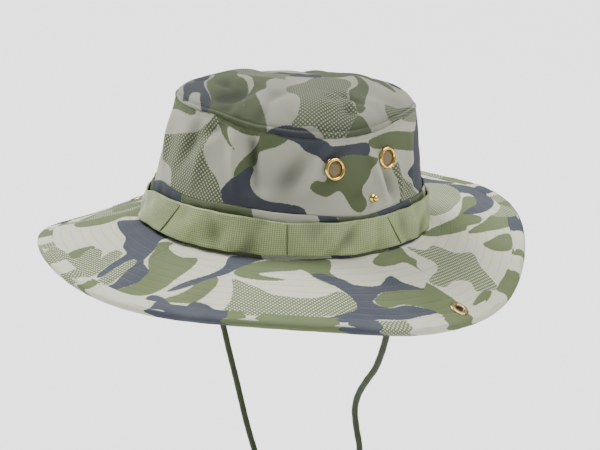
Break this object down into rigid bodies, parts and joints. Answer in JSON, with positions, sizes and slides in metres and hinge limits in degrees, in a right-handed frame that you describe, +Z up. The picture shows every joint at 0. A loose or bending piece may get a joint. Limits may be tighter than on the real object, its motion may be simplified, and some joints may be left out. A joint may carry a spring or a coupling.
{
  "type": "bucket hat",
  "caption": "Camouflage cloth bucket hat: domed crown, webbing band, brass vent eyelets, snap-up brim sides and a chin cord with a slider.",
  "frame": {"origin": "centre of the head opening, where the crown meets the brim", "axes": "+Z up through the crown, -Y the way the wearer looks, +X the wearer's left"},
  "size_m": [0.3216, 0.3447, 0.4089],
  "materials": {
    "camouflage_cloth": "matt cotton twill, four-colour print",
    "lining": "matt cotton",
    "webbing": "satin woven webbing",
    "brass": "polished, slightly aged",
    "gauze": "dull wire gauze",
    "cord": "matt braided cord",
    "slider": "satin"
  },
  "bodies": {
    "hat": {"band_backing_strip": "camouflage_cloth", "brim_binding_front": "camouflage_cloth", "brim_binding_rear": "camouflage_cloth", "brim_interlining_front": "lining", "brim_interlining_rear": "lining", "brim_under_front": "camouflage_cloth", "brim_under_rear": "camouflage_cloth", "brim_upper_front": "camouflage_cloth", "brim_upper_rear": "camouflage_cloth", "chin_cord_left": "cord", "chin_cord_right": "cord", "cord_knot": "cord", "crown_top": "camouflage_cloth", "crown_wall": "camouflage_cloth", "eyelet_gauze_left_front": "gauze", "eyelet_gauze_left_rear": "gauze", "eyelet_gauze_right_front": "gauze", "eyelet_gauze_right_rear": "gauze", "eyelet_left_front": "brass", "eyelet_left_rear": "brass", "eyelet_right_front": "brass", "eyelet_right_rear": "brass", "eyelet_washer_left_front": "brass", "eyelet_washer_left_rear": "brass", "eyelet_washer_right_front": "brass", "eyelet_washer_right_rear": "brass", "snap_stud_cap_left": "brass", "snap_stud_cap_right": "brass", "snap_stud_left": "brass", "snap_stud_right": "brass", "sweatband": "lining", "webbing_band": "webbing"},
    "brim_left": {"brim_binding_left": "camouflage_cloth", "brim_interlining_left": "lining", "brim_under_left": "camouflage_cloth", "brim_upper_left": "camouflage_cloth", "snap_socket_cap_left": "brass", "snap_socket_left": "brass"},
    "brim_right": {"brim_binding_right": "camouflage_cloth", "brim_interlining_right": "lining", "brim_under_right": "camouflage_cloth", "brim_upper_right": "camouflage_cloth", "snap_socket_cap_right": "brass", "snap_socket_right": "brass"},
    "cord_slider": {"cord_slider": "slider"}
  },
  "joints": [
    {"name": "brim_left_fold", "type": "hinge", "parent": "hat", "child": "brim_left", "pos_m": [0.096, 0, 0.00265], "axis": [0, -0.9966, -0.0826], "range_deg": [0, 118]},
    {"name": "brim_right_fold", "type": "hinge", "parent": "hat", "child": "brim_right", "pos_m": [-0.096, 0, -0.00009], "axis": [0, 0.9982, 0.0601], "range_deg": [0, 118]},
    {"name": "cord_slider_slide", "type": "slide", "parent": "hat", "child": "cord_slider", "axis": [0, 0, -1], "range_m": [0, 0.038]}
  ]
}
